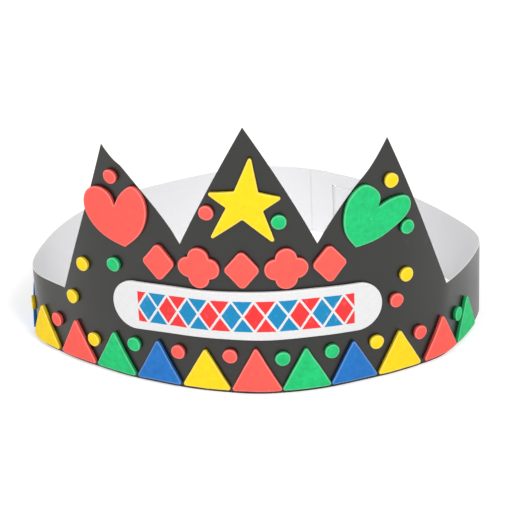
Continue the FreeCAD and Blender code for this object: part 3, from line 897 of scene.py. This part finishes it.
class PaperCrownSettings(bpy.types.PropertyGroup):
    """Sizes in millimetres and colours of the crown."""

    card_thickness: bpy.props.FloatProperty(
        name="Card thickness", description="Thickness of the card, in mm",
        default=0.4, min=0.2, max=0.6)
    foam_thickness: bpy.props.FloatProperty(
        name="Foam thickness", description="Height of a sticker over the card, in mm",
        default=1.92, min=1.0, max=4.0)
    rim_softness: bpy.props.FloatProperty(
        name="Rim softness", description="Radius of a sticker's front rim, in mm",
        default=0.45, min=0.1, max=0.6)
    swell: bpy.props.FloatProperty(
        name="Swell", description="How far a sticker's front stands out in the middle, in mm",
        default=0.1, min=0.0, max=0.5)
    cut_wander: bpy.props.FloatProperty(
        name="Cut wander", description="How far a sticker's cut edge wanders, in mm",
        default=0.14, min=0.0, max=0.4)
    print_pitch: bpy.props.FloatProperty(
        name="Print pitch", description="Distance between two printed lozenges, in mm",
        default=9.4, min=6.0, max=12.0)
    print_height: bpy.props.FloatProperty(
        name="Print height", description="Height of the printed row, in mm",
        default=14.0, min=6.0, max=18.0)
    print_gap: bpy.props.FloatProperty(
        name="Print gap", description="White line between two printed shapes, in mm",
        default=1.0, min=0.3, max=2.0)
    black_card: colour_property("Black card", "Outer face of the card", 24, 24, 21)
    white_card: colour_property("White card", "Inner face of the card", 232, 232, 234)
    cut_edge: colour_property("Cut edge", "Raw edge of the card", 236, 230, 220)
    worn_edge: colour_property("Worn edge", "Smudged edge of the points", 84, 80, 74)
    yellow_foam: colour_property("Yellow foam", "Yellow stickers", 251, 216, 27)
    coral_foam: colour_property("Coral foam", "Coral stickers", 250, 96, 86)
    green_foam: colour_property("Green foam", "Green stickers", 33, 197, 117)
    blue_foam: colour_property("Blue foam", "Blue stickers", 36, 116, 194)
    white_foam: colour_property("White foam", "Banner", 229, 229, 230)
    print_blue: colour_property("Blue print", "Blue shapes on the banner", 10, 135, 188)
    print_red: colour_property("Red print", "Red shapes on the banner", 238, 52, 54)


# Pieces

class CROWN_OT_card(bpy.types.Operator):
    """Add the strip of card with its points, slit and tab"""

    bl_idname = "crown.card"
    bl_label = "Card strip"

    def execute(self, context):
        settings = context.scene.paper_crown
        points, faces, flat, kinds = card_mesh(settings.card_thickness)
        piece = new_piece("card_strip_sheet", points, faces, flat, "card_strip")
        for material in card_materials(settings):
            piece.data.materials.append(material)
        piece.data.polygons.foreach_set("material_index", kinds.astype(np.int32))
        return {"FINISHED"}


class CROWN_OT_triangles(bpy.types.Operator):
    """Add the row of foam triangles along the lower edge"""

    bl_idname = "crown.triangles"
    bl_label = "Triangles"

    def execute(self, context):
        for number, (colour, slip, extra) in enumerate(TRIANGLES):
            middle = TRIANGLE_ROW_MIDDLE + (number - len(TRIANGLES) / 2) * TRIANGLE_PITCH + slip
            low, high = TRIANGLE_MARGIN, TRIANGLE_MARGIN + TRIANGLE_HEIGHT + extra
            half = TRIANGLE_BASE / 2
            corners = ((middle - half, low), (middle + half, low), (middle, high))
            outline = even(rounded(corners, TRIANGLE_RADIUS), OUTLINE_STEP)
            centre = (middle, low + TRIANGLE_HEIGHT / 3)
            foam_piece(f"triangle_{number + 1:02d}_{colour}", outline, centre, colour)
        return {"FINISHED"}


class CROWN_OT_dots(bpy.types.Operator):
    """Add the foam dots over the valleys, on the points and beside the banner"""

    bl_idname = "crown.dots"
    bl_label = "Dots"

    def execute(self, context):
        radius = DOT_DIAMETER / 2
        dots = []
        for number, (colour, slip, drop) in enumerate(VALLEY_DOTS):
            from_middle = number + 0.5 - len(TRIANGLES) / 2
            reach = TRIANGLE_ROW_MIDDLE + from_middle * TRIANGLE_PITCH + slip
            centre = (reach, TRIANGLE_TOP - DOT_ROW_DROP + radius - drop)
            dots.append((f"row_dot_{number + 1:02d}_{colour}", centre, colour))
        for number, (colour, *centre) in enumerate(LOOSE_DOTS):
            dots.append((f"point_dot_{number + 1:02d}_{colour}", centre, colour))
        for name, centre, colour in dots:
            foam_piece(name, circle(centre, radius, count=DOT_STEPS), centre, colour)
        return {"FINISHED"}


class CROWN_OT_hearts_and_star(bpy.types.Operator):
    """Add the star on the middle point and the heart on each side point"""

    bl_idname = "crown.hearts_and_star"
    bl_label = "Hearts and star"

    def execute(self, context):
        corners = np.array(STAR_CORNERS) + STAR_CENTRE
        outline = even(rounded(corners, STAR_RADIUS), OUTLINE_STEP)
        foam_piece("star", outline, STAR_CENTRE, "yellow")
        for colour, heart in (("coral", CORAL_HEART), ("green", GREEN_HEART)):
            line = np.vstack([through(heart["left"]), through(heart["right"])])
            outline = even(line + heart["centre"], OUTLINE_STEP)
            foam_piece("heart_" + colour, outline, heart["centre"], colour)
        return {"FINISHED"}


class CROWN_OT_banner(bpy.types.Operator):
    """Add the long white pill with its printed row"""

    bl_idname = "crown.banner"
    bl_label = "Banner"

    def execute(self, context):
        radius = BANNER_HEIGHT / 2
        half = BANNER_LENGTH / 2 - radius
        middle = BANNER_BOTTOM + radius
        run = np.linspace(-half, half, BANNER_EDGE_STEPS, endpoint=False)
        right = circle((BANNER_MIDDLE + half, middle), radius, -math.pi / 2, math.pi / 2)
        left = circle((BANNER_MIDDLE - half, middle), radius, math.pi / 2, 3 * math.pi / 2)
        low = np.stack([BANNER_MIDDLE + run, BANNER_BOTTOM + 0 * run], -1)
        high = np.stack([BANNER_MIDDLE - run, BANNER_BOTTOM + BANNER_HEIGHT + 0 * run], -1)
        outline = even(np.vstack([low, right, high, left]), BANNER_STEP)
        outline[:, 1] += arched(outline[:, 0])
        centre = (BANNER_MIDDLE, middle + BANNER_ARCH)
        material = printed_foam(context.scene.paper_crown)
        foam_piece("banner", outline, centre, "white", material)
        return {"FINISHED"}


class CROWN_OT_ornaments(bpy.types.Operator):
    """Add the five coral lozenges and flowers over the banner"""

    bl_idname = "crown.ornaments"
    bl_label = "Lozenges and flowers"

    def execute(self, context):
        wide, high = LOZENGE_WIDTH, LOZENGE_HEIGHT
        half = PETAL_OFFSET * math.sqrt(0.5)
        open_angle = math.atan2(half, math.sqrt(PETAL_RADIUS**2 - half**2)) + math.pi / 4
        for number in range(ORNAMENTS):
            reach = ORNAMENT_MIDDLE + (number - ORNAMENTS // 2) * ORNAMENT_PITCH
            centre = np.array((reach, ORNAMENT_HEIGHT))
            if number % 2:
                petals = []
                for angle in np.arange(4) * math.pi / 2:
                    aim = np.array((math.cos(angle), math.sin(angle)))
                    petals.append(circle(centre + aim * PETAL_OFFSET, PETAL_RADIUS,
                                         angle - open_angle, angle + open_angle, CURVE_STEPS))
                outline, kind = np.vstack(petals), "flower"
            else:
                corners = centre + np.array(
                    ((-wide / 2, 0), (0, -high / 2), (wide / 2, 0), (0, high / 2)))
                outline, kind = rounded(corners, LOZENGE_RADIUS), "lozenge"
            foam_piece(f"{kind}_{number + 1}", even(outline, OUTLINE_STEP), centre, "coral")
        return {"FINISHED"}


def stage_material():
    """White floor that keeps the crown's shadow and reads white to the camera."""
    material = bpy.data.materials.new("white floor")
    material.use_nodes = True
    material.node_tree.nodes.clear()
    nodes = Nodes(material.node_tree)
    matt = nodes.add("ShaderNodeBsdfDiffuse", {"Color": (0.82, 0.82, 0.82, 1.0)})
    path = nodes.add("ShaderNodeLightPath").outputs
    place = nodes.add("ShaderNodeTexCoord").outputs["Object"]
    away = nodes.add("ShaderNodeVectorMath", {0: place}, operation="LENGTH").outputs["Value"]
    glow = nodes.between(away, FLOOR_NEAR, FLOOR_FAR, FLOOR_GLOW_NEAR, FLOOR_GLOW_FAR)
    strength = nodes.math("MULTIPLY", path["Is Camera Ray"], glow)
    strength = nodes.math("MULTIPLY_ADD", path["Is Glossy Ray"], FLOOR_GLOW_REFLECTED, strength)
    light = nodes.add("ShaderNodeEmission", {"Color": (1, 1, 1, 1), "Strength": strength})
    both = nodes.add("ShaderNodeAddShader", {0: matt.outputs[0], 1: light.outputs[0]})
    nodes.add("ShaderNodeOutputMaterial", {"Surface": both.outputs[0]})
    return material


def area_light(name, place, size, power):
    """Soft square light at a place, turned toward the crown."""
    light = bpy.data.lights.new(name, "AREA")
    light.size = size
    light.energy = power
    lamp = bpy.data.objects.new(name, light)
    lamp.location = place
    aim = Vector(LIGHTS_AIM) - Vector(place)
    lamp.rotation_euler = aim.to_track_quat("-Z", "Y").to_euler()
    bpy.context.scene.collection.objects.link(lamp)


class CROWN_OT_stage(bpy.types.Operator):
    """Add the floor, the soft lights, the white surroundings and the camera"""

    bl_idname = "crown.stage"
    bl_label = "Stage"

    def execute(self, context):
        sides = ((-1, -1), (1, -1), (1, 1), (-1, 1))
        corners = [(x * FLOOR_HALF, y * FLOOR_HALF, 0) for x, y in sides]
        mesh = bpy.data.meshes.new("floor")
        mesh.from_pydata(corners, [], [(0, 1, 2, 3)])
        mesh.materials.append(stage_material())
        floor = bpy.data.objects.new("floor", mesh)
        context.scene.collection.objects.link(floor)

        world = bpy.data.worlds.new("white studio")
        context.scene.world = world
        world.use_nodes = True
        world.node_tree.nodes.clear()
        nodes = Nodes(world.node_tree)
        path = nodes.add("ShaderNodeLightPath").outputs
        seen = nodes.math("MAXIMUM", path["Is Camera Ray"], path["Is Glossy Ray"])
        strength = nodes.between(seen, 0.0, 1.0, WORLD_STRENGTH, 1.0)
        sky = nodes.add("ShaderNodeBackground", {"Color": (1, 1, 1, 1), "Strength": strength})
        nodes.add("ShaderNodeOutputWorld", {"Surface": sky.outputs[0]})

        for name, place, size, power in LIGHTS:
            area_light(name, place, size, power)

        pitch, roll = CAMERA_PITCH, CAMERA_ROLL
        forward = Vector((0, math.cos(pitch), -math.sin(pitch)))
        above = Vector((0, math.sin(pitch), math.cos(pitch)))
        right = Vector((1, 0, 0))
        up = above * math.cos(roll) + right * math.sin(roll)
        across = right * math.cos(roll) - above * math.sin(roll)
        turn = Matrix((across, up, -forward)).transposed().to_4x4()
        data = bpy.data.cameras.new("camera")
        data.lens = CAMERA_LENS
        data.sensor_width = CAMERA_SENSOR
        data.clip_start = 0.05
        data.clip_end = 50
        camera = bpy.data.objects.new("camera", data)
        camera.matrix_world = Matrix.Translation(Vector(CAMERA_PLACE) * MM) @ turn
        context.scene.collection.objects.link(camera)
        context.scene.camera = camera
        context.scene.view_settings.view_transform = "Standard"
        return {"FINISHED"}


PIECES = (
    CROWN_OT_card, CROWN_OT_triangles, CROWN_OT_dots, CROWN_OT_hearts_and_star,
    CROWN_OT_banner, CROWN_OT_ornaments, CROWN_OT_stage,
)


class CROWN_PT_panel(bpy.types.Panel):
    """Sizes, colours and pieces of the crown"""

    bl_label = "Paper crown"
    bl_idname = "CROWN_PT_panel"
    bl_space_type = "VIEW_3D"
    bl_region_type = "UI"
    bl_category = "Crown"

    def draw(self, context):
        for name in PaperCrownSettings.__annotations__:
            self.layout.prop(context.scene.paper_crown, name)
        for piece in PIECES:
            self.layout.operator(piece.bl_idname)


CLASSES = (PaperCrownSettings, *PIECES, CROWN_PT_panel)


def register():
    for cls in CLASSES:
        bpy.utils.register_class(cls)
    bpy.types.Scene.paper_crown = bpy.props.PointerProperty(type=PaperCrownSettings)


def unregister():
    del bpy.types.Scene.paper_crown
    for cls in reversed(CLASSES):
        bpy.utils.unregister_class(cls)


def main():
    register()
    bpy.ops.crown.stage()
    bpy.ops.crown.card()
    bpy.ops.crown.triangles()
    bpy.ops.crown.dots()
    bpy.ops.crown.hearts_and_star()
    bpy.ops.crown.banner()
    bpy.ops.crown.ornaments()


if __name__ == "__main__":
    main()
